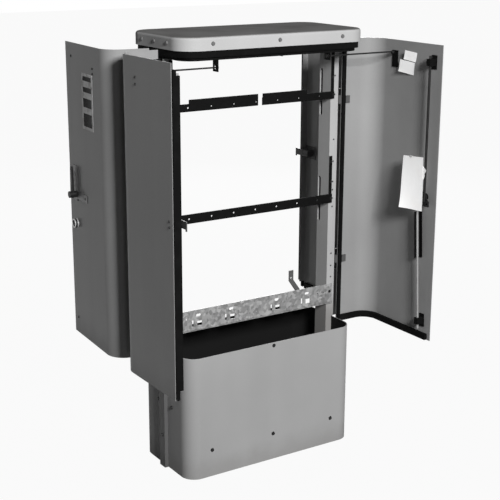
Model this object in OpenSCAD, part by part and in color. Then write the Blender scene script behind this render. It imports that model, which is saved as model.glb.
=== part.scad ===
// Roadside cross-connect cabinet: a skirted base, two channel uprights and a roof cap, closed by
// four folded doors. The front right and rear left doors latch, the other two are held by them.
// Millimetres, +Z up. The origin is on the ground in the middle of the base.
// Doors are drawn closed and then swung open about their hinges, which is how the cabinet rests.

/* [Cabinet] */
// Width of the base over its skirts
base_w = 644; // [600:1:720]
// Depth of the base over its skirts
base_d = 300; // [280:1:340]
// Height of the base skirts
base_h = 410; // [360:1:460]
// Corner radius of the base in plan
base_r = 48; // [40:1:56]
// Sheet of the skirts and of the header
skirt_t = 2.5; // [1.5:0.1:3]
// Height of the cabinet to the top of the roof
total_h = 1400; // [1360:1:1500]

/* [Roof] */
// Overhang of the roof beyond the doors
roof_over = 4; // [3:0.5:10]
// Height of the lip of the roof
lip_h = 40; // [36:1:60]
// Sheet of the roof
roof_t = 2; // [1.5:0.1:3]
// Radius of the soft top edge of the roof
roof_edge_r = 9; // [5:0.5:14]
// Length of header that shows below the lip of the roof
header_drop = 30; // [26:1:36]
// Height of the seal round the header
roof_seal_h = 20; // [14:1:22]

/* [Doors] */
// Sheet of the doors
door_t = 2; // [1.5:0.1:2.5]
// Room for the seal between the base and the doors
seal_room = 11; // [9:0.5:13]
// Length of door that laps over the rim of the base
door_lap = 23; // [20:1:30]
// Gap between the tops of the doors and the lip of the roof
door_top_gap = 4; // [2:0.5:8]
// Depth of the folded edge of a passive door
return_d = 24; // [20:1:25]
// Thickness of the rubber between the two leaves
meeting_t = 7.5; // [5:0.5:10]
// Height of the rubber strip at the bottom of a door
bottom_seal_h = 20; // [14:1:22]
// Width of the rubber strip along the hinge edge of a door
edge_seal_w = 14; // [10:1:15]

/* [Frame] */
// Depth of an upright from front face to rear face
upright_d = 62; // [56:1:70]
// Width of an upright inside the base
upright_w = 23.5; // [20:0.5:26]
// Sheet of the uprights and of the hinge posts
upright_t = 2.5; // [2:0.1:3]
// Width of a hinge post
post_w = 34; // [32:1:40]
// Reach of the clips that hold the skirts to an upright
clip_w = 21; // [18:1:26]
// Height of the bolts in the clips
clip_bolt_z = 219; // [150:1:230]
// Distance of the outer bolts from the bends of the base
bolt_in = 39; // [30:1:80]
// Height of the low row of skirt bolts
low_bolt_z = 91; // [60:1:100]
// Depth of the floor leg of an anchor angle
anchor_leg = 60; // [50:1:70]
// Thickness of an anchor angle
anchor_t = 4; // [3:0.5:6]
// Distance between anchor holes across the width
anchor_x = 400; // [300:10:440]
// Distance between anchor holes across the depth
anchor_y = 224; // [200:2:240]
// Radius of an anchor hole
anchor_hole_r = 7; // [5:0.5:9]

/* [Rails] */
// Bottom of the lower rail above the rim of the base
lower_rail_up = 405; // [370:1:430]
// Height of the lower rail
lower_rail_h = 30; // [24:1:36]
// Bottom of the upper rail below the header
upper_rail_down = 165; // [155:1:210]
// Height of the upper rail
upper_rail_h = 24; // [20:1:30]
// Thickness of a rail, a bracket or a plate
rail_t = 3; // [2:0.5:4]
// Pitch of the holes in the rails
rail_pitch = 82; // [60:1:90]
// Height of a bracket above the bottom of its rail
bracket_h = 158; // [120:1:160]
// Bottom of the cable panel above the rim of the base
panel_up = 51; // [30:1:90]
// Height of the cable panel
panel_h = 67; // [60:1:80]
// Sheet of the cable panel
panel_t = 2; // [1.5:0.5:3]

/* [Hinges] */
// Radius of a hinge knuckle
knuckle_r = 4.5; // [4:0.1:5]
// Radius of a hinge pin
pin_r = 2; // [1.5:0.1:2.4]
// Length of a hinge
hinge_len = 70; // [60:1:90]
// Thickness of a hinge leaf
leaf_t = 2.5; // [2:0.1:3]
// Reach of a hinge leaf along the door
leaf_w = 36; // [30:1:44]
// Middle of the lower hinge above the bottom of the door
hinge_low = 224; // [150:1:260]
// Middle of the upper hinge below the top of the door
hinge_high = 198; // [150:1:260]

/* [Latch] */
// Distance of the handle spindle from the middle of the front
spindle_x = 48; // [46:1:56]
// Height of the spindle above the rim of the base
latch_up = 458; // [420:1:480]
// Radius of the spindle
spindle_r = 5; // [4:0.1:5.5]
// Length of the lever from the spindle to its tip
lever_len = 92; // [80:1:110]
// Radius of the circle of the cam pins
cam_r = 25; // [23:0.5:26]
// Radius of a cam pin
cam_pin_r = 3; // [2.5:0.1:3.5]
// Radius of a latch rod
rod_r = 4; // [3:0.1:4.5]
// Tilt of the lower rod off the vertical
rod_tilt = 3.75; // [2:0.25:4.5]
// Distance of the lock collar below the spindle
collar_down = 97; // [70:1:110]

/* [Stays] */
// Distance of the stay pivots from the bend of a door
stay_in = 47.5; // [40:0.5:60]
// Radius of a stay rod
stay_r = 2.5; // [2:0.1:3]
// Depth of a stay pivot below the header
stay_drop = 12; // [11:0.5:14]

/* [Record sheets] */
// Width of the sheets
sheet_w = 127; // [100:1:140]
// Height of the sheets
sheet_h = 196; // [150:1:210]
// Depth of the sheets below the spindle
sheet_drop = 66; // [40:1:80]
// Thickness of the bundle of sheets
sheet_t = 1; // [0.5:0.1:2]
// Width of the spring clip
spring_w = 20; // [14:1:40]

/* [Hidden] */
$fn = 48;
fit = 0.05;            // radial clearance of a running fit
free = 0.3;            // clearance of parts that pass each other
over = 1;              // overshoot of a cut
open_angle = 90;       // how far a door stands open
ajar_angle = 86.5;     // how far the rear left door stands open
paint = [0.60, 0.60, 0.60];
dark = [0.12, 0.12, 0.12];
zinc = [0.72, 0.73, 0.74];
card = [0.92, 0.92, 0.90];

base_in_x = base_w / 2 - skirt_t;
base_in_y = base_d / 2 - skirt_t;
door_w = base_w + 2 * (seal_room + door_t);
door_d = base_d + 2 * (seal_room + door_t);
door_r = base_r + seal_room + door_t;
door_in_x = door_w / 2 - door_t;
door_in_y = door_d / 2 - door_t;
roof_w = door_w + 2 * roof_over;
roof_d = door_d + 2 * roof_over;
roof_r = door_r + roof_over;
roof_under = total_h - roof_t;
lip_z = total_h - lip_h;
header_z = lip_z - header_drop;
door_z0 = base_h - door_lap;
door_z1 = lip_z - door_top_gap;
roof_bolt_z = lip_z + lip_h / 2;
roof_bolt_y = roof_d / 2 - roof_r - 25;

bolt_x = base_w / 2 - base_r - bolt_in;
lower_rail_z = base_h + lower_rail_up;
upper_rail_z = header_z - upper_rail_down;
panel_z = base_h + panel_up;

web_x = base_in_x - upright_w;
flange_y = upright_d / 2;
edge_seal_t = seal_room / 2 + 0.5;
lip_x = door_in_x - edge_seal_t;
post_x = door_w / 2;
post_gap = 1;
skirt_end_y = post_w / 2 + post_gap;
clip_t = 2.5;
clip_down = 159;
clip_z0 = clip_bolt_z - clip_down;
clip_z1 = clip_bolt_z + 41;
clip_leg = 18;
anchor_h = low_bolt_z + 15;
anchor_half = base_w / 2 - base_r - 6;

slot_r = 7;
slot_y = flange_y - upright_t - slot_r - 1;

bolt_r = 3;
bolt_head_r = 6.5;
small_head_r = 5;
bolt_head_h = 3.5;
bolt_hole_r = bolt_r + 0.2;
small_hole_r = 3;
hole_x = web_x + 17;
lower_holes = [-16, 13, 42, 70, 139, 213];
upper_holes = [12, 74];
panel_holes = [91, 131, 174];

bracket_x = web_x + 11;
bracket_mid = web_x + 5.5;
bracket_y = flange_y + rail_t;
rail_y = bracket_y + rail_t;
plate_y = rail_y + rail_t;
plate_h = upper_rail_h + 13;
rail_gap = 18;
rail_gap_x = 15;
left_plate = 250;
right_plate = 171;
panel_half = lip_x - 9;
panel_lip = 8;
cluster_x = [panel_half * 0.28, panel_half * 0.67];
end_holes = [panel_half - 60, panel_half - 36];
panel_bolt_z = panel_z + panel_h * 0.6;
hook_x = 178;
hook_w = 18;
hook_t = 3;

hinge_x = post_x + knuckle_r;
hinge_y = post_w / 2 + knuckle_r + 0.5;
door_edge_y = hinge_y + 2.5;
hinge_zs = [door_z0 + hinge_low, door_z1 - hinge_high];
knuckle_gap = 0.3;
centre_len = hinge_len * 0.4;
leaf_clear = knuckle_r + 1;

leaf_edge = 0.5;
passive_edge = leaf_edge + meeting_t;
inner_z0 = base_h + 2;
inner_z1 = header_z - 2;

rod_y = base_in_y - rod_r - 1.5;
rod_off = door_in_y - rod_y;
yoke_t = 4;
cam_t = 4;
cam_y = rod_y + yoke_t / 2 + 4 + cam_t;
latch_z = base_h + latch_up;
pin_off = cam_r * sin(45);
upper_rod_x = spindle_x - spindle_r - rod_r - 3;
lower_rod_x = spindle_x + pin_off + 3.5;
upper_tip_z = header_z - 8;
lower_tip_z = base_h + 14;
rod_guide_h = 22;
rod_guide_w = 18;
yoke_h = 2 * cam_pin_r + 12;
slot_h = 2 * cam_pin_r + 2;
slot_in = cam_pin_r + 1.5;
foot_w = 22;
foot_h = 44;
guard_top = 52;        // reach of the guard of the lower rod below the spindle
guard_end = 206;
lever_t = 7;           // thickness of the lever
lever_off = 9;         // stand-off of the lever from its door
hub_r = 11;
hub_h = 24;
plate_t = 2;           // thickness of the plate under the lever
collar_r = 15;
collar_x = spindle_x;

stay_stand = 12.5;     // stand-off of a stay pivot from its door
stay_offset = 21.5;    // distance of a guide from the pivot of a closed door, along the front
guide_in = 15.5;       // depth of a guide behind the header
stay_x = door_w / 2 - door_r - stay_in;
stay_pivot_y = door_in_y - stay_stand;
stay_guide_x = stay_x - stay_offset;
stay_guide_y = base_in_y - guide_in;
active_stay_z = header_z - stay_drop;
passive_stay_z = active_stay_z - 12;
stay_foot_h = 50;
guide_lug_h = 22;
stay_pin_r = 2.5;
eye_r = 6.5;
eye_h = 5;
pivot_in = [stay_x - hinge_x, hinge_y - stay_pivot_y];
// Pivot of a stay on a front right door that stands open by an angle, and its way to the guide
function stay_rest(a) = [hinge_x + pivot_in[0] * cos(a) - pivot_in[1] * sin(a),
                         pivot_in[0] * sin(a) + pivot_in[1] * cos(a) - hinge_y];
function stay_run(a) = [stay_guide_x, -stay_guide_y] - stay_rest(a);
stay_len = norm(stay_run(open_angle));

// Shared shapes

module plan(w, d, r) {
  square([w - 2 * r, d], center = true);
  square([w, d - 2 * r], center = true);
  for (x = [-1, 1], y = [-1, 1]) translate([x * (w / 2 - r), y * (d / 2 - r)]) circle(r);
}

module plan_ring(w, d, r, t) difference() {
  plan(w, d, r);
  plan(w - 2 * t, d - 2 * t, r - t);
}

// A block from one corner to the opposite one
module block(a, b) translate(a) cube(b - a);

// A round bar along Y between two depths
module bar_y(r, x, z, y0, y1) translate([x, y0, z]) rotate([-90, 0, 0]) cylinder(h = y1 - y0, r = r);

// A bolt with its head on +Z and its shank below
module bolt(grip, head_r = bolt_head_r) {
  cylinder(h = bolt_head_h, r1 = head_r, r2 = head_r - 1.5);
  translate([0, 0, -grip]) cylinder(h = grip + over / 2, r = bolt_r);
}

module bolt_hole() translate([0, 0, -20]) cylinder(h = 21, r = bolt_hole_r);

module rear() rotate(180) children();
module left() mirror([1, 0, 0]) children();

// Swings a closed right-hand front leaf open, and a left-hand one
module open_right(a = open_angle) translate([hinge_x, -hinge_y, 0]) rotate(a)
  translate([-hinge_x, hinge_y, 0]) children();
module open_left() left() open_right() children();
module ajar() rear() open_right(ajar_angle) children();

// Bolt places

module low_places() for (x = [-bolt_x, 0, bolt_x])
  translate([x, -base_d / 2, low_bolt_z]) rotate([90, 0, 0]) children();
module rim_place() translate([0, -base_d / 2, base_h - 10]) rotate([90, 0, 0]) children();
module clip_places() for (s = [-1, 1])
  translate([s * base_w / 2, -(flange_y + clip_w * 0.6), clip_bolt_z]) rotate([0, s * 90, 0]) children();
module post_places() for (s = [-1, 1])
  translate([s * post_x, 0, low_bolt_z + 20]) rotate([0, s * 90, 0]) children();
module roof_places() {
  for (s = [0, 180], x = [-bolt_x, 0, bolt_x])
    rotate(s) translate([x, -roof_d / 2, roof_bolt_z]) rotate([90, 0, 0]) children();
  for (s = [-1, 1], y = [-roof_bolt_y, 0, roof_bolt_y])
    translate([s * roof_w / 2, y, roof_bolt_z]) rotate([0, s * 90, 0]) children();
}
module bracket_places() for (s = [-1, 1], z = [lower_rail_z, upper_rail_z], k = [0.45, 0.88])
  translate([s * bracket_mid, -bracket_y, z + k * bracket_h]) rotate([90, 0, 0]) children();
module rail_places() for (s = [-1, 1], z = [lower_rail_z + lower_rail_h / 2, upper_rail_z + upper_rail_h / 2])
  translate([s * bracket_mid, -rail_y, z]) rotate([90, 0, 0]) children();
module panel_places() for (s = [-1, 1])
  translate([s * (web_x + 12), -flange_y - panel_t, panel_bolt_z]) rotate([90, 0, 0]) children();

// Base

module skirt() color(paint) difference() {
  linear_extrude(base_h) intersection() {
    plan_ring(base_w, base_d, base_r, skirt_t);
    translate([-base_w / 2, -base_d / 2]) square([base_w, base_d / 2 - skirt_end_y]);
  }
  low_places() bolt_hole();
  clip_places() bolt_hole();
  rim_place() {
    bolt_hole();
    translate([0, 0, -skirt_t / 2]) cylinder(h = skirt_t, r = bolt_head_r + 0.1);
  }
}

module anchor_angle() color(dark) difference() {
  union() {
    block([-anchor_half, -base_in_y, 0], [anchor_half, -base_in_y + anchor_t, anchor_h]);
    block([-anchor_half, -base_in_y, 0], [anchor_half, -base_in_y + anchor_leg, anchor_t]);
  }
  low_places() bolt_hole();
  for (x = [-anchor_x / 2, anchor_x / 2])
    translate([x, -anchor_y / 2, -over]) cylinder(h = anchor_t + 2 * over, r = anchor_hole_r);
}

// Uprights and posts, drawn on the right

module channel(reach, z0, z1) translate([0, 0, z0]) linear_extrude(z1 - z0) difference() {
  translate([web_x, -flange_y]) square([reach - web_x, upright_d]);
  translate([web_x + upright_t, -flange_y + upright_t]) square([reach, upright_d - 2 * upright_t]);
}

module web_slot(y, z) {
  for (k = [-1, 1]) translate([web_x - over, y, z + k * 70]) rotate([0, 90, 0])
    cylinder(h = upright_t + 2 * over, r = slot_r);
  block([web_x - over, y - slot_r, z - 70], [web_x + upright_t + over, y + slot_r, z + 70]);
}

module upright(y) color(paint) difference() {
  union() {
    channel(base_in_x, 0, roof_under);
    channel(lip_x, base_h + over, header_z - over);
  }
  web_slot(y, upper_rail_z + 17);
  web_slot(y, lower_rail_z + 5);
  for (z = [for (k = lower_holes) lower_rail_z + k, for (k = upper_holes) upper_rail_z + k,
            for (k = panel_holes) panel_z + k])
    bar_y(small_hole_r, hole_x, z, -flange_y - over, flange_y + over);
  bracket_places() bolt_hole();
  panel_places() bolt_hole();
}

// Angles between the uprights and the skirts
module skirt_clips() color(dark) difference() {
  for (s = [0, 180], m = [0, 1]) rotate(s) mirror([m, 0, 0]) {
    block([base_in_x - clip_leg, -flange_y - clip_t, clip_z0], [base_in_x, -flange_y, clip_z1]);
    block([base_in_x - clip_t, -flange_y - clip_w, clip_z0], [base_in_x, -flange_y, clip_z1]);
  }
  for (s = [0, 180]) rotate(s) clip_places() bolt_hole();
}

module hinge_post() color(paint) difference() {
  linear_extrude(header_z) difference() {
    translate([web_x + upright_t, -post_w / 2]) square([post_x - web_x - upright_t, post_w]);
    translate([web_x, -post_w / 2 + upright_t])
      square([post_x - upright_t - web_x, post_w - 2 * upright_t]);
  }
  post_places() bolt_hole();
}

// Roof

module cap_profile() difference() {
  union() {
    square([roof_r, lip_h - roof_edge_r]);
    square([roof_r - roof_edge_r, lip_h]);
    translate([roof_r - roof_edge_r, lip_h - roof_edge_r]) circle(roof_edge_r);
  }
  translate([-over, -over]) square([roof_r - roof_t + over, lip_h - roof_edge_r + over]);
  translate([-over, 0]) square([roof_r - roof_edge_r + over, lip_h - roof_t]);
  translate([roof_r - roof_edge_r, lip_h - roof_edge_r]) circle(roof_edge_r - roof_t);
}

module cap_wall(length) rotate([90, 0, 0]) linear_extrude(length, center = true) cap_profile();

module roof_cap() color(paint) difference() {
  translate([0, 0, lip_z]) union() {
    for (s = [0, 180]) {
      rotate(s) translate([roof_w / 2 - roof_r, 0, 0]) cap_wall(roof_d - 2 * roof_r);
      rotate(s + 90) translate([roof_d / 2 - roof_r, 0, 0]) cap_wall(roof_w - 2 * roof_r);
    }
    for (x = [0, 1], y = [0, 1])
      translate([(1 - 2 * x) * (roof_w / 2 - roof_r), (1 - 2 * y) * (roof_d / 2 - roof_r), 0])
        rotate(x == 0 ? -90 * y : 90 + 90 * y) rotate_extrude(angle = 90) cap_profile();
    translate([-roof_w / 2 + roof_r, -roof_d / 2 + roof_r, lip_h - roof_t])
      cube([roof_w - 2 * roof_r, roof_d - 2 * roof_r, roof_t]);
  }
  roof_places() bolt_hole();
}

// Header wall, soffit and the flange that the roof bolts hold
module header_frame() color(dark) difference() {
  union() {
    translate([0, 0, header_z]) linear_extrude(roof_under - header_z)
      plan_ring(base_w, base_d, base_r, skirt_t);
    translate([0, 0, lip_z]) linear_extrude(skirt_t) difference() {
      plan(roof_w - 2 * roof_t, roof_d - 2 * roof_t, roof_r - roof_t);
      plan(base_w - skirt_t, base_d - skirt_t, base_r - skirt_t / 2);
    }
    translate([0, 0, lip_z]) linear_extrude(lip_h * 0.65)
      plan_ring(roof_w - 2 * roof_t, roof_d - 2 * roof_t, roof_r - roof_t, skirt_t);
  }
  roof_places() bolt_hole();
}

module roof_seal() color(dark) translate([0, 0, lip_z - roof_seal_h]) linear_extrude(roof_seal_h)
  difference() {
    plan(2 * (door_in_x - free), 2 * (door_in_y - free), door_r - door_t - free);
    plan(base_w, base_d, base_r);
  }

// Rails and panel

module rail_holes(z) for (k = [-3:3])
  bar_y(small_hole_r, k * rail_pitch, z, -plate_y - over, -bracket_y + over);

module upper_rail(x0, x1) color(dark) difference() {
  block([x0, -rail_y, upper_rail_z], [x1, -bracket_y, upper_rail_z + upper_rail_h]);
  rail_holes(upper_rail_z + upper_rail_h / 2);
  rail_places() bolt_hole();
}

module upper_plates() color(dark) difference() {
  for (x = [[rail_gap_x - rail_gap / 2 - left_plate, left_plate], [rail_gap_x + rail_gap / 2, right_plate]])
    translate([x[0], -plate_y, upper_rail_z + 1]) cube([x[1], rail_t, plate_h - 1]);
  rail_holes(upper_rail_z + upper_rail_h / 2);
}

module lower_rail() color(dark) difference() {
  block([-bracket_x, -rail_y, lower_rail_z], [bracket_x, -bracket_y, lower_rail_z + lower_rail_h]);
  rail_holes(lower_rail_z + lower_rail_h / 2);
  rail_places() bolt_hole();
}

module rail_brackets() color(dark) difference() {
  for (s = [0, 1], z = [lower_rail_z, upper_rail_z]) mirror([s, 0, 0])
    block([web_x, -bracket_y, z], [bracket_x, -flange_y, z + bracket_h]);
  bracket_places() bolt_hole();
  rail_places() bolt_hole();
}

module oval_y(w, h, x, z) {
  for (s = [-1, 1]) bar_y(h / 2, x + s * (w - h) / 2, z, -flange_y - panel_t - over, -flange_y + over);
  block([x - (w - h) / 2, -flange_y - panel_t - over, z - h / 2],
        [x + (w - h) / 2, -flange_y + over, z + h / 2]);
}

module cable_panel() color(zinc) difference() {
  union() {
    block([-panel_half, -flange_y - panel_t, panel_z], [panel_half, -flange_y, panel_z + panel_h]);
    block([-panel_half, -flange_y - panel_t - panel_lip, panel_z],
          [panel_half, -flange_y, panel_z + panel_t]);
  }
  for (s = [-1, 1], x = s * cluster_x) {
    oval_y(18, 8, x, panel_z + panel_h - 18);
    block([x - 24, -flange_y - panel_t - over, panel_z + 12], [x - 18, -flange_y + over, panel_z + 34]);
    block([x - 5, -flange_y - panel_t - over, panel_z + 13], [x + 13, -flange_y + over, panel_z + 29]);
  }
  for (s = [-1, 1], x = s * end_holes) oval_y(5.02, 5, x, panel_bolt_z);
  panel_places() bolt_hole();
}

// A strap that leans back from the panel and then stands up
module strap_hook() color(dark) difference() {
  translate([hook_x - hook_w / 2, 0, 0]) rotate([90, 0, 90]) linear_extrude(hook_w)
    polygon([[-flange_y, panel_z + 25], [-flange_y + hook_t, panel_z + 25],
             [-flange_y + hook_t, panel_z + 62], [14, panel_z + 88], [14, panel_z + 124],
             [14 - hook_t, panel_z + 124], [14 - hook_t, panel_z + 90], [-flange_y, panel_z + 64.5]]);
  bar_y(small_hole_r, hook_x, panel_z + 98, 0, 20);
}

module frame_bolts() color(dark) {
  for (s = [0, 180]) rotate(s) {
    low_places() bolt(skirt_t + anchor_t + 3);
    clip_places() bolt(skirt_t + clip_t + 3);
    rim_place() translate([0, 0, -skirt_t / 2]) {
      cylinder(h = skirt_t / 2, r = bolt_head_r);
      translate([0, 0, -skirt_t]) cylinder(h = skirt_t + over / 2, r = bolt_r);
    }
  }
  post_places() bolt(upright_t + 4);
  roof_places() bolt(roof_t + skirt_t + 3);
  bracket_places() bolt(rail_t + upright_t + 3, small_head_r);
  rail_places() bolt(2 * rail_t, small_head_r);
  panel_places() bolt(panel_t + upright_t + 3, small_head_r);
}

// Hinges, drawn on the right of the front: s = -1 is the door's leaf and s = 1 the frame's

module hinge_at() for (z = hinge_zs) translate([hinge_x, -hinge_y, z]) children();

module knuckle(z0, z1) translate([0, 0, z0]) difference() {
  cylinder(h = z1 - z0, r = knuckle_r);
  translate([0, 0, -over]) cylinder(h = z1 - z0 + 2 * over, r = pin_r + fit);
}

module leaf_plate(s, z0, z1, y0, y1) difference() {
  block([-knuckle_r, s > 0 ? y0 : -y1, z0], [-knuckle_r + leaf_t, s > 0 ? y1 : -y0, z1]);
  translate([0, 0, z0 - over]) cylinder(h = z1 - z0 + 2 * over, r = pin_r + 1);
}

module frame_leaves() hinge_at() {
  for (k = [-1, 1]) {
    z0 = k > 0 ? centre_len / 2 + knuckle_gap : -hinge_len / 2;
    z1 = k > 0 ? hinge_len / 2 : -centre_len / 2 - knuckle_gap;
    knuckle(z0, z1);
    leaf_plate(1, z0, z1, 0, leaf_clear + over);
  }
  leaf_plate(1, -hinge_len / 2, hinge_len / 2, leaf_clear, hinge_y - 1);
}

module hinge_frame_leaves() color(paint) for (s = [0, 180]) rotate(s) {
  frame_leaves();
  left() frame_leaves();
}

module hinge_pins() color(zinc) for (s = [0, 180], m = [0, 1]) rotate(s) mirror([m, 0, 0]) hinge_at() {
  translate([0, 0, -hinge_len / 2 - 1]) cylinder(h = hinge_len + 2, r = pin_r);
  translate([0, 0, hinge_len / 2 + free]) cylinder(h = 2, r = knuckle_r - 1);
}

module hinge_leaves() color(paint) hinge_at() {
  knuckle(-centre_len / 2, centre_len / 2);
  leaf_plate(-1, -centre_len / 2, centre_len / 2, 0, leaf_clear + over);
  leaf_plate(-1, -hinge_len / 2, hinge_len / 2, leaf_clear, leaf_w);
  block([-knuckle_r - door_t - 5, -leaf_w + 1, -12], [-knuckle_r - door_t, -leaf_w + 17, 12]);
}

// Stays

module stay_guide(z) color(dark) difference() {
  x0 = stay_guide_x - 1.5;
  y1 = -stay_guide_y + 15;
  union() {
    block([x0, -stay_guide_y - 13, z - 12], [x0 + 3, y1, header_z + 4]);
    block([x0, -base_in_y, header_z + 2], [x0 + 3, y1, header_z + guide_lug_h]);
  }
  block([stay_guide_x - 4, -stay_guide_y - 9, z - 5], [stay_guide_x + 4, -stay_guide_y + 9, z + 5]);
}

module stay_guides() for (s = [0, 180]) rotate(s) {
  stay_guide(active_stay_z);
  left() stay_guide(passive_stay_z);
}

module stay_bracket(z) color(dark) {
  block([stay_x - 13.5, -door_in_y, z - stay_foot_h], [stay_x + 13.5, -door_in_y + 2.5, z + 4]);
  block([stay_x - eye_r, -door_in_y + 2, z - eye_h / 2 - 4],
        [stay_x + eye_r, -stay_pivot_y, z - eye_h / 2 - free]);
  translate([stay_x, -stay_pivot_y, z - eye_h / 2 - 4]) {
    cylinder(h = 4 - free, r = eye_r);
    cylinder(h = eye_h + 6, r = stay_pin_r);
  }
}

// Drawn as it rests: with a door full open the stop is against the guide
module stay(z, s, a = open_angle) color(zinc) translate([s * stay_rest(a)[0], stay_rest(a)[1], z])
  rotate(atan2(stay_run(a)[1], s * stay_run(a)[0])) {
  difference() {
    union() {
      translate([0, 0, -eye_h / 2]) cylinder(h = eye_h, r = eye_r);
      rotate([0, 90, 0]) translate([0, 0, eye_r - 2]) cylinder(h = stay_len + 2, r = stay_r);
    }
    translate([0, 0, -eye_h]) cylinder(h = 2 * eye_h, r = stay_pin_r + fit);
  }
  translate([stay_len + 2, 0, 0]) rotate([0, 90, 0]) cylinder(h = 4.6, r = 6);
}

// Doors, drawn closed

module leaf(edge) translate([0, 0, door_z0]) linear_extrude(door_z1 - door_z0) intersection() {
  plan_ring(door_w, door_d, door_r, door_t);
  translate([edge, -door_d / 2]) square([door_w / 2, door_d / 2 - door_edge_y]);
}

module active_door() color(paint) difference() {
  leaf(leaf_edge);
  bar_y(spindle_r + 1, spindle_x, latch_z, -door_d / 2 - over, -door_in_y + over);
}

module passive_door() color(paint) union() {
  leaf(passive_edge);
  block([passive_edge, -door_d / 2, inner_z0], [passive_edge + door_t, -door_d / 2 + return_d, inner_z1]);
}

module door_seal(edge) color(dark) union() {
  translate([0, 0, door_z0 + over]) linear_extrude(bottom_seal_h) intersection() {
    difference() {
      plan(2 * door_in_x, 2 * door_in_y, door_r - door_t);
      plan(base_w + 2 * free, base_d + 2 * free, base_r + free);
    }
    translate([edge + 14, -door_d / 2]) square([door_w / 2, door_d / 2 - door_edge_y - 0.5]);
  }
  block([lip_x + free, -door_edge_y - 0.5 - edge_seal_w, door_z0 + bottom_seal_h],
        [door_in_x, -door_edge_y - 0.5, header_z - over]);
}

// Rubber on the folded edge of a passive leaf, with rounded ends
module meeting_seal() color(dark) translate([leaf_edge, 0, 0]) rotate([90, 0, 90])
  linear_extrude(meeting_t) union() {
    tongue = seal_room - 0.4;
    z0 = door_z0 + 1.5 + tongue / 2;
    z1 = lip_z - roof_seal_h - over - tongue / 2;
    translate([-door_d / 2 + 1.5, z0]) square([tongue, z1 - z0]);
    for (z = [z0, z1]) translate([-door_d / 2 + 1.5 + tongue / 2, z]) circle(tongue / 2);
    translate([-door_d / 2 + 1.5, inner_z0 + 6]) square([return_d - 2, inner_z1 - inner_z0 - 12]);
  }

// Bar on a passive leaf that reaches behind the other one
module strike() color(dark) {
  x0 = passive_edge + door_t + 2;
  y1 = door_in_y - return_d - 1;
  block([x0, -door_in_y, latch_z + 20], [x0 + 55, -door_in_y + 2.5, latch_z + 66]);
  block([x0 + 40, -door_in_y, latch_z + 31], [x0 + 42.5, -y1 + 2.5, latch_z + 54]);
  block([-20, -y1, latch_z + 31], [x0 + 42.5, -y1 + 2.5, latch_z + 54]);
  block([-20, -y1, latch_z + 26], [-14, -y1 + 2.5, latch_z + 31]);
}

// Latch, drawn closed with the rods drawn in

module handle() color(zinc) {
  bar_y(hub_r, spindle_x, latch_z, -door_d / 2 - hub_h, -door_d / 2 - plate_t - free);
  bar_y(spindle_r, spindle_x, latch_z, -door_d / 2 - hub_h + 2, -cam_y + cam_t + 4);
  bar_y(6.5, spindle_x, latch_z, -cam_y + cam_t, -cam_y + cam_t + 3);
  difference() {
    translate([spindle_x, -door_d / 2 - lever_off, latch_z]) rotate([90, 0, 0]) linear_extrude(lever_t)
      union() {
        polygon([[-9, 0], [9, 0], [6, lever_len - 6], [-6, lever_len - 6]]);
        translate([0, lever_len - 6]) circle(6);
      }
    bar_y(3, spindle_x, latch_z + lever_len - 8, -door_d / 2 - hub_h, -door_d / 2);
  }
}

module latch_cam() color(zinc) {
  difference() {
    translate([spindle_x, -cam_y + cam_t, latch_z]) rotate([90, 0, 0]) linear_extrude(cam_t) union() {
      circle(13);
      rotate(45) square([2 * cam_r, 15], center = true);
      for (s = [-1, 1]) rotate(45) translate([s * cam_r, 0]) circle(7.5);
    }
    bar_y(spindle_r + fit, spindle_x, latch_z, -cam_y - over, -cam_y + cam_t + over);
  }
  for (s = [-1, 1])
    bar_y(cam_pin_r, spindle_x + s * pin_off, latch_z + s * pin_off,
          -cam_y + cam_t / 2, -rod_y + yoke_t / 2 + 1);
}

// A slotted plate on a rod: x0 to x1 across, its slot level with a cam pin at height z
module yoke(x0, x1, s0, s1, z) difference() {
  block([x0, -rod_y - yoke_t / 2, z - yoke_h / 2], [x1, -rod_y + yoke_t / 2, z + yoke_h / 2]);
  block([s0, -rod_y - yoke_t, z - slot_h / 2], [s1, -rod_y + yoke_t, z + slot_h / 2]);
}

module upper_rod() color(zinc) {
  z = latch_z - pin_off;
  yoke(spindle_x - cam_r - 2 * slot_in, spindle_x - spindle_r - 2.5,
       spindle_x - cam_r - slot_in, spindle_x - pin_off + slot_in, z);
  translate([upper_rod_x, -rod_y, z + slot_h / 2 + 1])
    cylinder(h = upper_tip_z - z - slot_h / 2 - 1, r = rod_r);
}

// Placed on the line of the lower rod, with +Z up along it
module on_lower_rod() translate([lower_rod_x, -rod_y, latch_z]) rotate([0, rod_tilt, 0]) children();

module lower_rod() color(zinc) {
  z = latch_z + pin_off;
  tip = (latch_z - lower_tip_z) / cos(rod_tilt);
  yoke(spindle_x + spindle_r + 4, spindle_x + cam_r + 2 * slot_in + 3,
       spindle_x + pin_off - slot_in, spindle_x + cam_r + slot_in + 3, z);
  on_lower_rod() translate([0, 0, -tip]) cylinder(h = tip + pin_off - slot_h / 2 - 1, r = rod_r);
}

// A guide block on its foot plate
module rod_block() difference() {
  union() {
    block([-rod_guide_w / 2, -rod_off, 0], [rod_guide_w / 2, rod_r + 4, rod_guide_h]);
    block([-foot_w / 2, -rod_off, (rod_guide_h - foot_h) / 2],
          [foot_w / 2, -rod_off + 2.5, (rod_guide_h + foot_h) / 2]);
  }
  translate([0, 0, -over]) cylinder(h = rod_guide_h + 2 * over, r = rod_r + fit);
}

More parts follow.
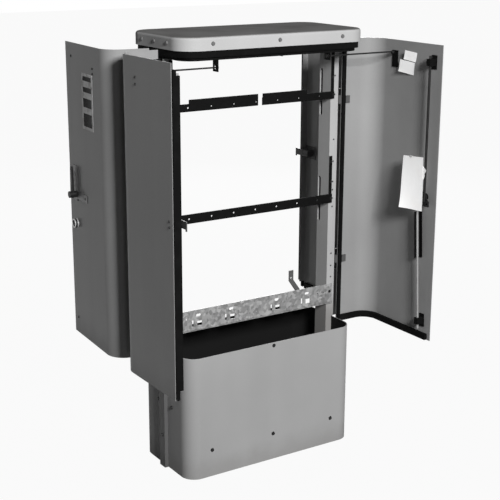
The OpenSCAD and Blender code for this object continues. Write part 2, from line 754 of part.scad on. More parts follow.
// Guides of both rods, the angle that guards the lower one, and the bush of the spindle
module rod_guides() color(dark) {
  translate([upper_rod_x, -rod_y, upper_tip_z - rod_guide_h - 10]) rod_block();
  on_lower_rod() {
    translate([0, 0, -(latch_z - lower_tip_z) / cos(rod_tilt) + 15]) rod_block();
    block([rod_guide_w / 2 - 2.5, -rod_off, -guard_end], [rod_guide_w / 2, rod_r + 2, -guard_top]);
    block([-2, -rod_off, -guard_end], [rod_guide_w / 2, -rod_off + 2.5, -guard_top]);
  }
  difference() {
    bar_y(11, spindle_x, latch_z, -door_in_y, -cam_y - free);
    bar_y(spindle_r + fit, spindle_x, latch_z, -door_in_y - over, -cam_y + over);
  }
}

module lock_fittings() color(zinc) {
  y0 = -door_d / 2 - plate_t;
  difference() {
    union() {
      block([spindle_x - 14, y0, latch_z - 20], [spindle_x + 17, -door_d / 2, latch_z + lever_len + 4]);
      block([spindle_x + 10, y0, latch_z - 12], [spindle_x + lever_len + 8, -door_d / 2, latch_z + 12]);
    }
    bar_y(spindle_r + fit, spindle_x, latch_z, y0 - over, -door_d / 2 + over);
    bar_y(4.5, spindle_x + lever_len - 8, latch_z, y0 - over, -door_d / 2 + over);
  }
  difference() {
    bar_y(collar_r, collar_x, latch_z - collar_down, y0 - 10, -door_d / 2);
    bar_y(collar_r - 4, collar_x, latch_z - collar_down, y0 - 11, -door_d / 2 - 4);
  }
  translate([collar_x, y0, latch_z - collar_down]) rotate([90, 0, 0]) cylinder(h = 6, r = 6, $fn = 6);
}

// Blank sheets in a spring clip that stands off the door
module record_sheets() color(card) {
  y = -rod_y + rod_r + 2.5;
  x0 = spindle_x - 10.5;
  mid = x0 + sheet_w / 2 - 5.5;
  z0 = latch_z - sheet_drop;
  z1 = z0 + sheet_h;
  spring_t = 2;
  block([x0, y, z0], [x0 + sheet_w, y + sheet_t, z1]);
  block([mid - 6, -door_in_y, z1], [mid + 6, y + sheet_t + spring_t, z1 + 5]);
  block([mid - spring_w / 2, y + sheet_t, z1 - 14], [mid + spring_w / 2, y + sheet_t + spring_t, z1 + 5]);
  block([mid - spring_w / 2, -door_in_y, z1 - 8], [mid + spring_w / 2, -door_in_y + spring_t, z1 + 13]);
}

// The sub-parts

skirt();  // front_skirt
rear() skirt();  // rear_skirt
anchor_angle();  // front_anchor_angle
rear() anchor_angle();  // rear_anchor_angle
left() upright(-slot_y);  // left_upright
upright(slot_y);  // right_upright
left() hinge_post();  // left_hinge_post
hinge_post();  // right_hinge_post
skirt_clips();
roof_cap();
header_frame();
roof_seal();
upper_rail(-bracket_x, rail_gap_x - rail_gap / 2);  // upper_rail_left
upper_rail(rail_gap_x + rail_gap / 2, bracket_x);  // upper_rail_right
upper_plates();
lower_rail();
rail_brackets();
cable_panel();
strap_hook();
frame_bolts();
hinge_frame_leaves();
hinge_pins();
stay_guides();

open_right() active_door();  // front_right_door
open_right() door_seal(leaf_edge);  // front_right_door_seal
open_right() hinge_leaves();  // front_right_hinge_leaves
open_right() stay_bracket(active_stay_z);  // front_right_stay_bracket
stay(active_stay_z, 1);  // front_right_stay
open_right() handle();  // front_right_handle
open_right() latch_cam();  // front_right_latch_cam
open_right() upper_rod();  // front_right_upper_rod
open_right() lower_rod();  // front_right_lower_rod
open_right() rod_guides();  // front_right_rod_guides
open_right() lock_fittings();  // front_right_lock_fittings
open_right() record_sheets();

open_left() passive_door();  // front_left_door
open_left() door_seal(passive_edge);  // front_left_door_seal
open_left() hinge_leaves();  // front_left_hinge_leaves
open_left() stay_bracket(passive_stay_z);  // front_left_stay_bracket
stay(passive_stay_z, -1);  // front_left_stay
open_left() meeting_seal();  // front_left_meeting_seal
open_left() strike();  // front_left_strike

ajar() active_door();  // rear_left_door
ajar() door_seal(leaf_edge);  // rear_left_door_seal
ajar() hinge_leaves();  // rear_left_hinge_leaves
ajar() stay_bracket(active_stay_z);  // rear_left_stay_bracket
rear() stay(active_stay_z, 1, ajar_angle);  // rear_left_stay
ajar() handle();  // rear_left_handle
ajar() latch_cam();  // rear_left_latch_cam
ajar() upper_rod();  // rear_left_upper_rod
ajar() lower_rod();  // rear_left_lower_rod
ajar() rod_guides();  // rear_left_rod_guides
ajar() lock_fittings();  // rear_left_lock_fittings

rear() open_left() passive_door();  // rear_right_door
rear() open_left() door_seal(passive_edge);  // rear_right_door_seal
rear() open_left() hinge_leaves();  // rear_right_hinge_leaves
rear() open_left() stay_bracket(passive_stay_z);  // rear_right_stay_bracket
rear() stay(passive_stay_z, -1);  // rear_right_stay
rear() open_left() meeting_seal();  // rear_right_meeting_seal
rear() open_left() strike();  // rear_right_strike
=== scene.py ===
import math

import bmesh
import bpy
from mathutils import Matrix, Vector


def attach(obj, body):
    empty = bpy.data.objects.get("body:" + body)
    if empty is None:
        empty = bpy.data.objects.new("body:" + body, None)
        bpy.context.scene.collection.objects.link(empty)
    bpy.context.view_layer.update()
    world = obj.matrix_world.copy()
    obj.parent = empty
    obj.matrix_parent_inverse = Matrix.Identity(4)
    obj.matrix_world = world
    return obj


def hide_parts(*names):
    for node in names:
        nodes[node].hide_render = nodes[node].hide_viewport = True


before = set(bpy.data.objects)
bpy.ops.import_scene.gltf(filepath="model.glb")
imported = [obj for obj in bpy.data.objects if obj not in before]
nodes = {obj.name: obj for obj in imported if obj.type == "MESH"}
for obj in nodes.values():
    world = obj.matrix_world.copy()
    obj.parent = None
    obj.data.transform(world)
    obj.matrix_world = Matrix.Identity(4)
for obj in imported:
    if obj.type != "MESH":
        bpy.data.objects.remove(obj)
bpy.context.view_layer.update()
print("frame loaded with", len(nodes), "nodes")

# camera, at the height and turn of the photograph
cameraSetup = {"place": (-1.9995, -3.0814, 1.7049), "yaw": 0.5764, "pitch": -0.2706, "roll": 0.0040,
               "lens": 83.73, "sensor": 36, "reach": 80}


def placeCamera(setup):
    yaw, pitch, roll = setup["yaw"], setup["pitch"], setup["roll"]
    ahead = Vector((math.sin(yaw) * math.cos(pitch), math.cos(yaw) * math.cos(pitch), math.sin(pitch)))
    right = Vector((math.cos(yaw), -math.sin(yaw), 0))
    up = right.cross(ahead)
    sideways = right * math.cos(roll) + up * math.sin(roll)
    upright = up * math.cos(roll) - right * math.sin(roll)
    bpy.ops.object.select_all(action="DESELECT")
    bpy.ops.object.camera_add(location=setup["place"])
    camera = bpy.context.active_object
    camera.rotation_euler = Matrix((sideways, upright, -ahead)).transposed().to_euler()
    camera.data.sensor_width = setup["sensor"]
    camera.data.lens = setup["lens"]
    camera.data.clip_end = setup["reach"]
    bpy.context.scene.camera = camera


placeCamera(cameraSetup)
print("camera placed")


# a value in a material, with the sums that are used on it
class Wire:
    def __init__(self, finish, socket):
        self.finish = finish
        self.socket = socket

    def calc(self, operation, first, second):
        return self.finish.add("ShaderNodeMath", {"operation": operation}, {0: first, 1: second})

    def __add__(self, other):
        return self.calc("ADD", self, other)

    def __radd__(self, other):
        return self.calc("ADD", other, self)

    def __sub__(self, other):
        return self.calc("SUBTRACT", self, other)

    def __rsub__(self, other):
        return self.calc("SUBTRACT", other, self)

    def __mul__(self, other):
        return self.calc("MULTIPLY", self, other)

    def __rmul__(self, other):
        return self.calc("MULTIPLY", other, self)

    def most(self, other):
        return self.calc("MAXIMUM", self, other)

    def least(self, other):
        return self.calc("MINIMUM", self, other)


class Finish:
    def __init__(self, tree):
        self.tree = tree
        self.tree.nodes.clear()

    def add(self, kind, settings=None, sockets=None, out=0):
        node = self.tree.nodes.new(kind)
        for key, value in (settings or {}).items():
            setattr(node, key, value)
        for key, value in (sockets or {}).items():
            if isinstance(value, Wire):
                self.tree.links.new(value.socket, node.inputs[key])
            else:
                node.inputs[key].default_value = value
        return Wire(self, node.outputs[out])

    def place(self):
        return self.add("ShaderNodeTexCoord", out="Object")

    def height(self):
        return self.add("ShaderNodeSeparateXYZ", None, {0: self.place()}, 2)

    def stretched(self, amounts):
        return self.add("ShaderNodeMapping", None, {"Vector": self.place(), "Scale": amounts})

    def noise(self, where, scale, detail=2, rough=0.5):
        return self.add("ShaderNodeTexNoise", None,
                        {"Vector": where, "Scale": scale, "Detail": detail, "Roughness": rough})

    def soft(self, value, low, high):
        if low > high:
            return 1 - self.soft(value, high, low)
        return self.add("ShaderNodeMapRange", {"interpolation_type": "SMOOTHSTEP"},
                        {"Value": value, "From Min": low, "From Max": high})

    def mix(self, share, first, second):
        return self.add("ShaderNodeMix", {"data_type": "RGBA"}, {0: share, 6: first, 7: second}, 2)

    def bump(self, height, strength, distance):
        return self.add("ShaderNodeBump", None,
                        {"Strength": strength, "Distance": distance, "Height": height})

    def surface(self, colour, rough, metallic=0.0, normal=None, **fixed):
        sockets = {"Base Color": colour, "Roughness": rough, "Metallic": metallic}
        if normal:
            sockets["Normal"] = normal
        sockets.update({key.replace("_", " "): value for key, value in fixed.items()})
        shader = self.add("ShaderNodeBsdfPrincipled", None, sockets)
        self.close(shader)

    def close(self, shader):
        end = self.tree.nodes.new("ShaderNodeOutputMaterial")
        self.tree.links.new(shader.socket, end.inputs["Surface"])


def grey(level, warm=0.0):
    return (level * (1 + warm), level, level * (1 - warm), 1)


def newFinish(name):
    material = bpy.data.materials.new(name)
    material.use_nodes = True
    return material, Finish(material.node_tree)


def dress(material, names):
    for name in names:
        for slot in nodes[name].material_slots:
            slot.material = material


# satin stove enamel on folded sheet: uneven coat, rain runs, splash near the ground and small chips, plus painted
# shade on up-facing faces, low on the uprights, inside the skirts and high on the hinge posts
def sheetPaint(name, look):
    material, finish = newFinish(name)
    place = finish.place()
    cloud = finish.noise(place, 2.4, 3)
    grain = finish.noise(place, 640, 2)
    runs = finish.noise(finish.stretched((11, 11, 0.7)), 1, 3, 0.5)
    tone = 0.5 + (cloud - 0.5) * look["cloud"] + (grain - 0.5) * look["grain"] + (runs - 0.5) * look["runs"]
    base = finish.mix(finish.soft(tone, 0, 1), grey(look["level"] * 0.72), grey(look["level"] * 1.28))
    uneven = finish.height() + (finish.noise(place, 21, 4) - 0.5) * 0.06
    # darker below the foot height: ground splash on the skirts, a slightly darker bottom on the doors, painted shade
    # on the uprights' lower part inside the base
    splashAndShade = finish.soft(uneven, look["foot"] + 0.09, look["foot"])
    base = finish.mix(splashAndShade * look["splashAndShade"], base, grey(look["level"] * 0.55, 0.04))
    faces = finish.add("ShaderNodeTexCoord", out="Normal")
    level = finish.soft(finish.add("ShaderNodeSeparateXYZ", None, {0: faces}, 2), 0.55, 0.95)
    # up-facing faces are darkened as painted shade, strongest on the roof top
    topShade = level * (0.62 + 0.5 * finish.noise(place, 9, 5, 0.6)) * look["topShade"]
    base = finish.mix(topShade, base, grey(look["level"] * 0.3, 0.02))
    flake = finish.soft(finish.noise(place, 95, 3), 0.735, 0.76)
    flake = flake * finish.soft(finish.height(), look["foot"] + 0.03, look["foot"])
    base = finish.mix(flake, base, grey(0.12, 0.05))
    # inner faces of the skirts go near-black: a dark inner coat, deepened into painted shade of the hollow base
    inward = finish.add("ShaderNodeVectorMath", {"operation": "DOT_PRODUCT"},
                        {0: faces, 1: finish.stretched((1, 1, 0))}, 1)
    base = finish.mix(finish.soft(inward, 0, -0.02) * look["inside"], base, grey(0.014))
    # the hinge posts turn black above the skirts: painted shade in the gap beside the door hinges
    if "shadeAbove" in look:
        above = finish.soft(finish.height(), look["shadeAbove"], look["shadeAbove"] + 0.01)
        base = finish.mix(above, base, grey(0.012))
    rough = look["rough"] + (cloud - 0.5) * 0.12 + (grain - 0.5) * 0.08 + splashAndShade * 0.15 + topShade * 0.3
    peel = finish.noise(place, 260, 2) + flake * -1.5
    finish.surface(base, rough, normal=finish.bump(peel, 0.09, 0.0006), Specular_IOR_Level=look["sheen"],
                   Coat_Weight=look["coat"], Coat_Roughness=0.14)
    return material


plainLook = {"level": 0.34, "cloud": 0.5, "grain": 0.3, "runs": 0.2, "foot": 0.0, "splashAndShade": 0.3, "rough": 0.45,
             "topShade": 0.3, "inside": 0.0, "sheen": 0.2, "coat": 0.0}
skirtLook = dict(plainLook, level=0.41, cloud=0.4, runs=0.14, rough=0.42, inside=1.0, sheen=0.04)
doorLook = dict(plainLook, foot=0.38, splashAndShade=0.1, rough=0.36, sheen=0.08, coat=0.18)
# the roof top is darkened almost fully as painted shade
roofLook = dict(plainLook, level=0.50, cloud=0.4, grain=0.4, runs=0.1, foot=1.30, splashAndShade=0.0, rough=0.42,
                topShade=0.95, sheen=0.0)
# the uprights are darkened below 0.41 m as painted shade inside the base
uprightLook = dict(plainLook, level=0.45, grain=0.5, runs=0.3, foot=0.41, splashAndShade=0.75, sheen=0.08)
# hinge posts dark grey, black above 0.385 m as painted shade
postLook = dict(plainLook, level=0.13, cloud=0.4, grain=0.4, sheen=0.1, shadeAbove=0.385)
leafLook = dict(plainLook, level=0.10, grain=0.5, splashAndShade=0.0, rough=0.5)
doors = ("front_right", "front_left", "rear_left", "rear_right")
active = ("front_right", "rear_left")
passive = ("front_left", "rear_right")
doorPaint = sheetPaint("doorPaint", doorLook)
dress(sheetPaint("skirtPaint", skirtLook), ["front_skirt", "rear_skirt"])
dress(sheetPaint("postPaint", postLook), ["left_hinge_post", "right_hinge_post"])
dress(sheetPaint("leafPaint", leafLook), [door + "_hinge_leaves" for door in doors])
dress(doorPaint, [door + "_door" for door in doors])
dress(sheetPaint("roofPaint", roofLook), ["roof_cap"])
dress(sheetPaint("uprightPaint", uprightLook), ["left_upright", "right_upright"])


# black enamel on the rails and brackets, dusty on its upper faces and rubbed grey in places
blackLook = {"level": 0.005, "dust": 0.03, "rub": 0.02, "rough": 0.6}


def blackEnamel(look):
    material, finish = newFinish("blackEnamel")
    place = finish.place()
    faces = finish.add("ShaderNodeTexCoord", out="Normal")
    up = finish.add("ShaderNodeSeparateXYZ", None, {0: faces}, 2)
    dust = finish.soft(up, 0.5, 1) * finish.soft(finish.noise(place, 30, 4), 0.3, 0.75)
    rub = finish.soft(finish.noise(finish.stretched((40, 40, 160)), 1, 5, 0.65), 0.64, 0.74)
    base = finish.mix(finish.noise(place, 90, 3), grey(look["level"] * 0.7), grey(look["level"] * 1.4))
    base = finish.mix(dust * 0.6, base, grey(look["dust"], 0.03))
    base = finish.mix(rub * 0.5, base, grey(look["rub"]))
    rough = look["rough"] + dust * 0.3 + (finish.noise(place, 300, 2) - 0.5) * 0.15
    pits = finish.bump(finish.noise(place, 420, 2), 0.08, 0.0005)
    finish.surface(base, rough, normal=pits, Specular_IOR_Level=0.05)
    return material


dress(blackEnamel(blackLook), [
    "front_anchor_angle", "rear_anchor_angle", "skirt_clips", "header_frame", "upper_rail_left",
    "upper_rail_right", "upper_plates", "lower_rail", "rail_brackets", "stay_guides", "hinge_frame_leaves"]
    + [door + "_stay_bracket" for door in doors] + [door + "_rod_guides" for door in active])


# moulded rubber with a faint bloom and fine ribs along its length
rubberLook = {"level": 0.004, "bloom": 0.012, "rough": 0.7}


def sealRubber(look):
    material, finish = newFinish("sealRubber")
    place = finish.place()
    bloom = finish.soft(finish.noise(place, 16, 5, 0.6), 0.45, 0.75)
    base = finish.mix(bloom * 0.6, grey(look["level"]), grey(look["bloom"]))
    ribs = finish.noise(finish.stretched((700, 700, 6)), 1, 1)
    rough = look["rough"] + bloom * 0.15
    finish.surface(base, rough, normal=finish.bump(ribs, 0.2, 0.0005), Specular_IOR_Level=0.05)
    return material


dress(sealRubber(rubberLook), ["roof_seal"] + [door + "_door_seal" for door in doors]
      + [door + "_meeting_seal" for door in passive])


# hot-dip zinc with a spangle of crystal grains and dull white patches
zincLook = {"dark": 0.20, "light": 0.46, "spangle": 110, "rough": 0.52}


def spangledZinc(look):
    material, finish = newFinish("spangledZinc")
    place = finish.place()
    warped = finish.add("ShaderNodeTexVoronoi", None, {"Vector": place, "Scale": look["spangle"]}, "Color")
    grainTone = finish.add("ShaderNodeSeparateColor", None, {0: warped})
    dull = finish.soft(finish.noise(place, 14, 4), 0.5, 0.75)
    base = finish.mix(grainTone, grey(look["dark"]), grey(look["light"]))
    base = finish.mix(dull * 0.5, base, grey(0.2))
    rough = look["rough"] + (grainTone - 0.5) * 0.12 + dull * 0.15
    scratch = finish.noise(finish.stretched((8, 8, 900)), 1, 2)
    finish.surface(base, rough, 0.35, finish.bump(scratch + grainTone * 0.3, 0.08, 0.0004))
    return material


dress(spangledZinc(zincLook), ["cable_panel"])


# drawn and plated steel, with fine lines along the piece and dark handling marks; on the lock fittings, painted
# shade on the collar's side wall
def platedSteel(name, look):
    material, finish = newFinish(name)
    place = finish.place()
    lines = finish.noise(finish.stretched(look["grain"]), 1, 3)
    stain = finish.soft(finish.noise(place, 45, 4), 0.48, 0.7)
    base = finish.mix(lines, grey(look["level"] * 0.75), grey(look["level"] * 1.25))
    base = finish.mix(stain * look["stain"], base, grey(look["level"] * 0.45, 0.05))
    # a band of the lock fittings 3 to 9.5 mm off the door face goes near-black: painted shade on the collar's side
    # wall
    if "collarSideShade" in look:
        x, y = [finish.add("ShaderNodeSeparateXYZ", None, {0: place}, axis) for axis in (0, 1)]
        (rearX, rearY), (outX, outY) = look["rearPlace"], look["rearOut"]
        stand = (x - look["frontFace"]).most((x - rearX) * outX + (y - rearY) * outY)
        low, high, edge = look["collarSideShade"]
        collarSideShade = finish.soft(stand, low, low + edge) * finish.soft(stand, high + edge, high)
        base = finish.mix(collarSideShade, base, grey(0.02))
        overCollar = finish.soft(finish.height(), look["collarTop"], look["collarTop"] + 0.004)
        base = finish.mix(overCollar, base, grey(look["plate"]))
    if "paintedAbove" in look:
        painted = finish.soft(finish.height(), look["paintedAbove"], look["paintedAbove"] + 0.005)
        base = finish.mix(painted, base, grey(look["paint"]))
    rough = look["rough"] + stain * 0.2 + (lines - 0.5) * 0.2
    finish.surface(base, rough, look["metal"], finish.bump(lines, 0.1, 0.0003), Specular_IOR_Level=look["sheen"])
    return material


darkSteelLook = {"level": 0.014, "grain": (900, 900, 30), "rough": 0.45, "metal": 0.0, "stain": 0.6, "sheen": 0.2}
boltLook = dict(darkSteelLook, paintedAbove=1.345, paint=0.15)
blackRodLook = dict(darkSteelLook, grain=(1400, 1400, 12))
strapLook = dict(darkSteelLook, level=0.11, grain=(500, 500, 60), rough=0.5)
brightSteelLook = {"level": 0.52, "grain": (600, 600, 600), "rough": 0.32, "metal": 0.85, "stain": 0.6, "sheen": 0.5}
brightRodLook = dict(brightSteelLook, level=0.36, grain=(1400, 1400, 12), rough=0.38, metal=0.5, stain=0.3)
lockLook = dict(brightSteelLook, level=0.72, rough=0.4, metal=0.3, stain=0.3, plate=0.08, frontFace=0.4805,
                rearPlace=(-0.4624, 0.3216), rearOut=(-0.998, 0.061), collarSideShade=(0.003, 0.0095, 0.0004), collarTop=0.82)
darkSteel = platedSteel("darkSteel", darkSteelLook)
brightSteel = platedSteel("brightSteel", brightSteelLook)
dress(platedSteel("boltSteel", boltLook), ["frame_bolts"])
dress(darkSteel, [door + "_handle" for door in active] + [door + "_latch_cam" for door in active])
dress(platedSteel("blackRod", blackRodLook),
      [door + "_upper_rod" for door in active] + [door + "_stay" for door in doors])
dress(platedSteel("brightRod", brightRodLook), [door + "_lower_rod" for door in active])
dress(platedSteel("lockSteel", lockLook), [door + "_lock_fittings" for door in active])
dress(platedSteel("strapSteel", strapLook), ["strap_hook"] + [door + "_strike" for door in passive])
dress(brightSteel, ["hinge_pins"])


# paper: fibres, a little yellowing and soft creases, and a faint painted glow that brightens it
paperLook = {"level": 0.94, "aged": 0.90, "glow": 0.14}


def sheetPaper(look):
    material, finish = newFinish("sheetPaper")
    place = finish.place()
    fibre = finish.noise(finish.stretched((500, 900, 700)), 1, 4)
    aged = finish.soft(finish.noise(place, 22, 3), 0.45, 0.8)
    base = finish.mix(fibre, grey(look["level"] * 0.96), grey(look["level"] * 1.03))
    base = finish.mix(aged * 0.6, base, grey(look["aged"], 0.02))
    crease = finish.bump(finish.noise(place, 60, 2), 0.15, 0.002)
    # the emission is a painted glow that lifts the paper's brightness
    finish.surface(base, 0.85 + (fibre - 0.5) * 0.1, normal=crease, Specular_IOR_Level=0.2,
                   Emission_Color=base, Emission_Strength=look["glow"])
    return material


paper = sheetPaper(paperLook)
print("finishes ready")


def fresh():
    bpy.ops.object.select_all(action="DESELECT")


def pick(piece):
    fresh()
    piece.select_set(True)
    bpy.context.view_layer.objects.active = piece


# the place and turn of a piece go into its mesh
def settle(piece, name, material, body):
    pick(piece)
    bpy.ops.object.transform_apply(location=True, rotation=True, scale=True)
    piece.name = name
    piece.data.name = name
    if not piece.data.materials:
        piece.data.materials.append(material)
    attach(piece, body)
    return piece


def applyAll(piece):
    pick(piece)
    for modifier in list(piece.modifiers):
        bpy.ops.object.modifier_apply(modifier=modifier.name)


def selectFaces(piece, wanted):
    mesh = bmesh.from_edit_mesh(piece.data)
    bpy.ops.mesh.select_all(action="DESELECT")
    for face in mesh.faces:
        face.select_set(wanted(face))
    bmesh.update_edit_mesh(piece.data)


# thin stock hung or pasted on the inside of the front right door, given by its corners, with the shares of
# its width and height where tears and the curl begin
tearFrom = 0.85
curlFrom = 0.6


def paperSheet(name, look):
    fresh()
    bpy.ops.mesh.primitive_grid_add(x_subdivisions=look["across"], y_subdivisions=look["along"], size=1)
    piece = bpy.context.active_object
    topA, topB, lowB, lowA = [Vector(corner) for corner in look["corners"]]
    for vertex in piece.data.vertices:
        s, t = vertex.co.x + 0.5, 0.5 - vertex.co.y
        place = topA.lerp(topB, s).lerp(lowA.lerp(lowB, s), t)
        for at, reach, width in look.get("torn", ()):
            place.y -= reach * max(0, 1 - abs(t - at) / width) * max(0, s - tearFrom) / (1 - tearFrom)
        curl = look["curl"] * (max(0, t - curlFrom) * max(0, 0.5 - s) * 5) ** 2
        ripple = look["ripple"] * math.sin(5.2 * t + 2.1 * s) * (0.3 + 0.7 * t)
        place.x -= curl + ripple + look["belly"] * math.sin(math.pi * s) * t
        vertex.co = place
    thick = piece.modifiers.new("thick", "SOLIDIFY")
    thick.thickness = look["thick"]
    thick.offset = 0
    applyAll(piece)
    bpy.ops.object.mode_set(mode="EDIT")
    bpy.ops.mesh.select_all(action="SELECT")
    bpy.ops.mesh.normals_make_consistent(inside=False)
    bpy.ops.object.mode_set(mode="OBJECT")
    bpy.ops.object.shade_smooth_by_angle(angle=math.radians(40))
    return settle(piece, name, paper, "front_right_door")


recordFront = {"corners": ((0.4410, -0.238, 0.996), (0.4530, -0.320, 1.000),
                           (0.4480, -0.330, 0.826), (0.4170, -0.255, 0.830)),
               "curl": 0.004, "ripple": 0.0010, "belly": -0.002, "thick": 0.0004, "across": 28, "along": 44}
recordBack = {"corners": ((0.4430, -0.240, 0.993), (0.4545, -0.318, 0.996),
                          (0.4510, -0.324, 0.832), (0.4240, -0.258, 0.836)),
              "curl": 0.001, "ripple": 0.0008, "belly": -0.002, "thick": 0.0004, "across": 28, "along": 44,
              "torn": ((0.22, 0.016, 0.08), (0.33, 0.010, 0.12))}
upperCard = {"corners": ((0.4660, -0.197, 1.328), (0.4775, -0.242, 1.322),
                         (0.4775, -0.236, 1.292), (0.4660, -0.191, 1.299)),
             "curl": 0.001, "ripple": 0.0002, "belly": 0.0, "thick": 0.0004, "across": 12, "along": 8}
lowerCard = {"corners": ((0.4660, -0.174, 1.297), (0.4775, -0.231, 1.290),
                         (0.4775, -0.229, 1.250), (0.4660, -0.168, 1.258)),
             "curl": 0.002, "ripple": 0.0003, "belly": 0.0, "thick": 0.0004, "across": 12, "along": 8}
frontSheet = paperSheet("record_sheet_front", recordFront)
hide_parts("record_sheets")
paperSheet("record_sheet_back", recordBack)
paperSheet("upper_card", upperCard)
paperSheet("lower_card", lowerCard)
print("papers made")

# spring clip that holds the record sheets off the door, as a strip that starts on the door and follows the run
clipShape = {"y": -0.2690, "z": 0.960, "width": 0.012, "foot": 0.4785, "sheet": 0.0010,
             "stand": 0.0006,
             "run": ((0, 0.018), (-0.004, 0.004), (-0.0224, 0), (-0.0025, 0.0025), (0, 0.0145),
                     (-0.0022, 0.0018), (-0.0025, -0.0008), (-0.0005, -0.0060))}


def springClip(shape):
    fresh()
    bpy.ops.mesh.primitive_plane_add(size=1)
    piece = bpy.context.active_object
    bpy.ops.object.mode_set(mode="EDIT")
    bpy.ops.mesh.delete(type="ONLY_FACE")
    mesh = bmesh.from_edit_mesh(piece.data)
    lows = sorted(mesh.verts, key=lambda v: (v.co.y, v.co.x))
    for vertex in lows[2:]:
        mesh.verts.remove(vertex)
    half = shape["width"] / 2
    for vertex, y in zip(lows[:2], (shape["y"] + half, shape["y"] - half)):
        vertex.co = Vector((shape["foot"] - shape["stand"], y, shape["z"]))
        vertex.select_set(True)
    for edge in mesh.edges:
        edge.select_set(True)
    bmesh.update_edit_mesh(piece.data)
    for dx, dz in shape["run"]:
        bpy.ops.mesh.extrude_region_move(TRANSFORM_OT_translate={"value": (dx, 0, dz)})
    bpy.ops.object.mode_set(mode="OBJECT")
    thick = piece.modifiers.new("thick", "SOLIDIFY")
    thick.thickness = shape["sheet"]
    thick.offset = 0
    edge = piece.modifiers.new("edge", "BEVEL")
    edge.width = 0.0004
    edge.segments = 3
    edge.limit_method = "ANGLE"
    applyAll(piece)
    bpy.ops.object.mode_set(mode="EDIT")
    bpy.ops.mesh.select_all(action="SELECT")
    bpy.ops.mesh.normals_make_consistent(inside=False)
    bpy.ops.object.mode_set(mode="OBJECT")
    bpy.ops.object.shade_smooth_by_angle(angle=math.radians(40))
    return settle(piece, "record_clip", brightSteel, "front_right_door")


springClip(clipShape)
print("clip made")

# rivets that show on the outsides of the doors, in metres as (y, z) on the front leaves
rivetShape = {"radius": 0.0042, "rise": 0.0020, "sides": 20, "face": 0.4805}
rivetPlaces = {"front_right": ((-0.3160, 1.313), (-0.3300, 0.442), (-0.141, 1.290), (-0.141, 1.274)),
               "front_left": ((-0.145, 1.297), (-0.145, 1.277), (-0.332, 0.916), (-0.332, 0.899))}


def modelRivet(shape):
    fresh()
    bpy.ops.mesh.primitive_cylinder_add(vertices=shape["sides"], radius=shape["radius"], depth=shape["rise"])
    piece = bpy.context.active_object
    bpy.ops.object.mode_set(mode="EDIT")
    selectFaces(piece, lambda face: face.normal.z > 0.9)
    bpy.ops.mesh.bevel(offset=shape["rise"] * 0.9, segments=4, affect="EDGES")
    bpy.ops.object.mode_set(mode="OBJECT")
    bpy.ops.object.shade_smooth_by_angle(angle=math.radians(35))
    return piece


# the rear left door rests a little less far open than the others
rearHinge = {"place": (-0.3395, 0.022, 0), "turn": -3.5}


def swing(piece, hinge):
    about = Matrix.Translation(hinge["place"])
    turned = Matrix.Rotation(math.radians(hinge["turn"]), 4, "Z")
    piece.matrix_world = about @ turned @ about.inverted() @ piece.matrix_world


def rivetRow(first, door, places, side, turned):
    copies = []
    for y, z in places:
        piece = first.copy()
        piece.data = first.data.copy()
        bpy.context.collection.objects.link(piece)
        piece.rotation_euler = (0, side * math.pi / 2, 0)
        piece.location = (side * (rivetShape["face"] + rivetShape["rise"] / 2), turned * y, z)
        copies.append(piece)
    fresh()
    for piece in copies:
        piece.select_set(True)
    bpy.context.view_layer.objects.active = copies[0]
    bpy.ops.object.join()
    if door == "rear_left":
        swing(copies[0], rearHinge)
    return settle(copies[0], door + "_rivets", darkSteel, door + "_door")


firstRivet = modelRivet(rivetShape)
rivetRow(firstRivet, "front_right", rivetPlaces["front_right"], 1, 1)
rivetRow(firstRivet, "rear_left", rivetPlaces["front_right"], -1, -1)
rivetRow(firstRivet, "front_left", rivetPlaces["front_left"], -1, 1)
rivetRow(firstRivet, "rear_right", rivetPlaces["front_left"], 1, -1)
bpy.data.objects.remove(firstRivet)
print("rivets made")

# bare plate on the rear left door, with blank enamel fields
plateShape = {"y": (0.143, 0.231), "z": (1.095, 1.270), "face": -0.4805, "thick": 0.0010,
              "rows": (1.155, 1.202, 1.237), "margin": 0.0095, "sunk": 0.0004}


def fieldEnamel():
    material, finish = newFinish("fieldEnamel")
    place = finish.place()
    worn = finish.soft(finish.noise(place, 140, 5, 0.65), 0.42, 0.62)
    base = finish.mix(worn, grey(0.012), grey(0.05))
    finish.surface(base, 0.5 + worn * 0.2, normal=finish.bump(finish.noise(place, 500, 2), 0.1, 0.0004),
                   Specular_IOR_Level=0.05)
    return material


plateLook = {"level": 0.48, "grain": (300, 900, 900), "rough": 0.55, "metal": 0.2, "stain": 0.6, "sheen": 0.3}
plateMetal = platedSteel("plateMetal", plateLook)


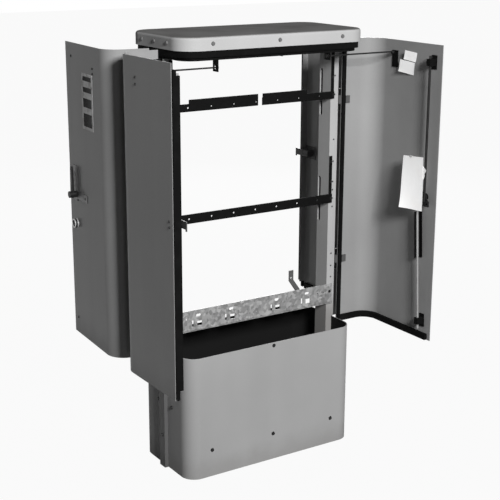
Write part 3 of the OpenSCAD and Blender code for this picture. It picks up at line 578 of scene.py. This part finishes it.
def doorPlate(shape):
    fresh()
    across, along = shape["y"], shape["z"]
    size = (shape["thick"], across[1] - across[0], along[1] - along[0])
    middle = (shape["face"] - size[0] / 2, sum(across) / 2, sum(along) / 2)
    bpy.ops.mesh.primitive_cube_add(size=1, location=middle)
    piece = bpy.context.active_object
    piece.scale = size
    bpy.ops.object.transform_apply(location=True, rotation=True, scale=True)
    bpy.ops.object.mode_set(mode="EDIT")
    for z in shape["rows"]:
        bpy.ops.mesh.select_all(action="SELECT")
        bpy.ops.mesh.bisect(plane_co=(0, 0, z), plane_no=(0, 0, 1))
    selectFaces(piece, lambda face: face.normal.x < -0.9)
    bpy.ops.mesh.inset(thickness=shape["margin"], use_individual=True)
    bpy.ops.mesh.extrude_region_move(TRANSFORM_OT_translate={"value": (shape["sunk"], 0, 0)})
    bpy.ops.object.material_slot_add()
    bpy.ops.object.material_slot_add()
    piece.material_slots[0].material = plateMetal
    piece.material_slots[1].material = fieldEnamel()
    piece.active_material_index = 1
    bpy.ops.object.material_slot_assign()
    bpy.ops.object.mode_set(mode="OBJECT")
    edge = piece.modifiers.new("edge", "BEVEL")
    edge.width = 0.0003
    edge.segments = 2
    edge.limit_method = "ANGLE"
    applyAll(piece)
    bpy.ops.object.shade_smooth_by_angle(angle=math.radians(35))
    swing(piece, rearHinge)
    return settle(piece, "rear_left_plate", brightSteel, "rear_left_door")


doorPlate(plateShape)
print("plate made")

# floor and light: a soft lamp in front and a little to the left, a weaker one behind, low ambient light
# and white beyond
lightSetup = {"ambient": 0.03, "floor": 0.12, "floorGlow": 0.95, "floorSize": 40, "floorDrop": 0.0006}
keyLamp = {"aim": (0.0, -0.1, 0.75), "turn": -12, "rise": 27, "far": 4.6, "size": 0.9, "power": 235}
rearLamp = {"aim": (0.0, 0.1, 0.75), "turn": 145, "rise": 12, "far": 4.6, "size": 1.6, "power": 190}


def backdropShare(finish):
    seen = finish.add("ShaderNodeLightPath", out="Is Camera Ray")
    seen = seen + finish.add("ShaderNodeLightPath", out="Is Glossy Ray")
    return (seen + finish.add("ShaderNodeLightPath", out="Is Transmission Ray")).least(1)


def layFloor(setup):
    fresh()
    bpy.ops.mesh.primitive_plane_add(size=setup["floorSize"], location=(0, 0, -setup["floorDrop"]))
    floor = bpy.context.active_object
    floor.name = "studio_floor"
    material, finish = newFinish("studioFloor")
    plain = finish.add("ShaderNodeBsdfDiffuse", None, {"Color": grey(setup["floor"])})
    glow = finish.add("ShaderNodeEmission", None, {"Color": grey(1.0), "Strength": 1.0})
    share = backdropShare(finish) * setup["floorGlow"]
    finish.close(finish.add("ShaderNodeMixShader", None, {0: share, 1: plain, 2: glow}))
    floor.data.materials.append(material)


def hangLamp(setup):
    turn, rise = math.radians(setup["turn"]), math.radians(setup["rise"])
    toward = Vector((math.sin(turn) * math.cos(rise), -math.cos(turn) * math.cos(rise), math.sin(rise)))
    fresh()
    bpy.ops.object.light_add(type="AREA", location=Vector(setup["aim"]) + toward * setup["far"])
    lamp = bpy.context.active_object
    lamp.rotation_euler = toward.to_track_quat("Z", "Y").to_euler()
    lamp.data.size = setup["size"]
    lamp.data.energy = setup["power"]


def paintWorld(setup):
    world = bpy.data.worlds.new("studio")
    world.use_nodes = True
    bpy.context.scene.world = world
    finish = Finish(world.node_tree)
    level = finish.mix(backdropShare(finish), grey(setup["ambient"]), grey(1.0))
    back = finish.add("ShaderNodeBackground", None, {"Color": level, "Strength": 1.0})
    end = world.node_tree.nodes.new("ShaderNodeOutputWorld")
    world.node_tree.links.new(back.socket, end.inputs["Surface"])


layFloor(lightSetup)
hangLamp(keyLamp)
hangLamp(rearLamp)
paintWorld(lightSetup)
bpy.context.scene.view_settings.view_transform = "Standard"
print("floor and light ready")
